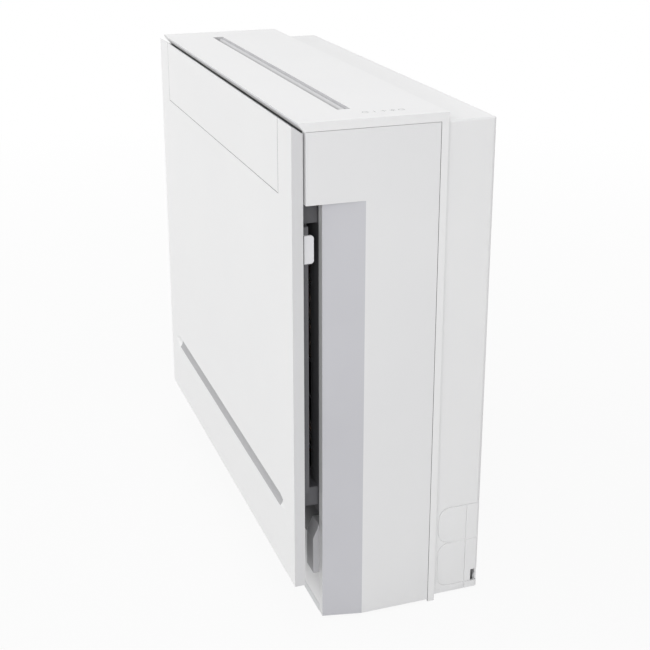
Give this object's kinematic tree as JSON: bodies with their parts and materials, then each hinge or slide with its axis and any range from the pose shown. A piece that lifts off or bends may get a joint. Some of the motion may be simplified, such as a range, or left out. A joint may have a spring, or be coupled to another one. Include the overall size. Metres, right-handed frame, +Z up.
{
  "type": "monoblock air conditioner",
  "caption": "Low wall-standing monoblock air conditioner: flat front panel over side intakes, slot outlet with flap in the top, two round duct ports at the back.",
  "frame": {"origin": "on the floor, under the middle of the overall box", "axes": "+Z up, front panel faces -Y, wall side faces +Y, +X to the right seen from the front"},
  "size_m": [0.693, 0.262, 0.665],
  "materials": {
    "white_panel": "satin",
    "white_shell": "matte",
    "inner_plastic": "matte",
    "filter_plastic": "matte",
    "filter_net": "woven net",
    "flap_white": "matte",
    "duct_plastic": "matte",
    "zinc_sheet": "zinc",
    "fin_aluminium": "bare",
    "copper": "bare copper",
    "black_steel": "black paint",
    "motor_steel": "zinc",
    "fan_plastic": "matte",
    "rubber": "matte",
    "circuit": "solder mask",
    "screw_steel": "zinc"
  },
  "bodies": {
    "cabinet": {"accumulator": "black_steel", "accumulator_pipe": "copper", "base_pan": "zinc_sheet", "bulkhead": "zinc_sheet", "cable_gland": "rubber", "capillary": "copper", "compressor": "black_steel", "compressor_mounts": "rubber", "control_board": "circuit", "control_box": "zinc_sheet", "control_lid": "zinc_sheet", "discharge_pipe": "copper", "drain_hose": "rubber", "drip_tray": "duct_plastic", "duct_collar_left": "duct_plastic", "duct_collar_right": "duct_plastic", "fan_casing": "duct_plastic", "fan_end_plate_left": "duct_plastic", "fan_end_plate_right": "duct_plastic", "fan_scroll": "duct_plastic", "fan_tongue": "duct_plastic", "filter_rail_lower": "inner_plastic", "filter_rail_upper": "inner_plastic", "flap_motor": "motor_steel", "front_frame": "inner_plastic", "front_panel": "white_panel", "intake_foot_left": "inner_plastic", "intake_foot_right": "inner_plastic", "lid_screws": "screw_steel", "panel_catches": "inner_plastic", "rear_coil_fins": "fin_aluminium", "rear_coil_legs": "zinc_sheet", "rear_coil_tubes": "copper", "rear_cover": "white_shell", "rear_fan_motor": "motor_steel", "room_coil_fins": "fin_aluminium", "room_coil_tubes": "copper", "room_fan_bearing": "rubber", "room_fan_motor": "motor_steel", "rubber_feet": "rubber", "side_panel_left": "white_shell", "side_panel_right": "white_shell", "suction_pipe": "copper", "top_cover": "white_shell", "touch_board": "circuit", "wall_bracket": "zinc_sheet"},
    "filter_right": {"filter_right": "filter_plastic", "filter_mesh_right": "filter_net"},
    "filter_left": {"filter_left": "filter_plastic", "filter_mesh_left": "filter_net"},
    "flap": {"outlet_flap": "flap_white"},
    "room_fan": {"room_fan": "fan_plastic"},
    "rear_fan": {"rear_fan": "fan_plastic"}
  },
  "joints": [
    {"name": "filter_right_slide", "type": "slide", "parent": "cabinet", "child": "filter_right", "axis": [1, 0, 0], "range_m": [0, 0.3]},
    {"name": "filter_left_slide", "type": "slide", "parent": "cabinet", "child": "filter_left", "axis": [-1, 0, 0], "range_m": [0, 0.3]},
    {"name": "flap_hinge", "type": "hinge", "parent": "cabinet", "child": "flap", "pos_m": [0, -0.0425, 0.66], "axis": [1, 0, 0], "range_deg": [-60, 15]},
    {"name": "room_fan_spin", "type": "hinge", "parent": "cabinet", "child": "room_fan", "pos_m": [0, -0.042, 0.566], "axis": [1, 0, 0], "continuous": true},
    {"name": "rear_fan_spin", "type": "hinge", "parent": "cabinet", "child": "rear_fan", "pos_m": [0.112, 0.067, 0.432], "axis": [0, 1, 0], "continuous": true}
  ]
}
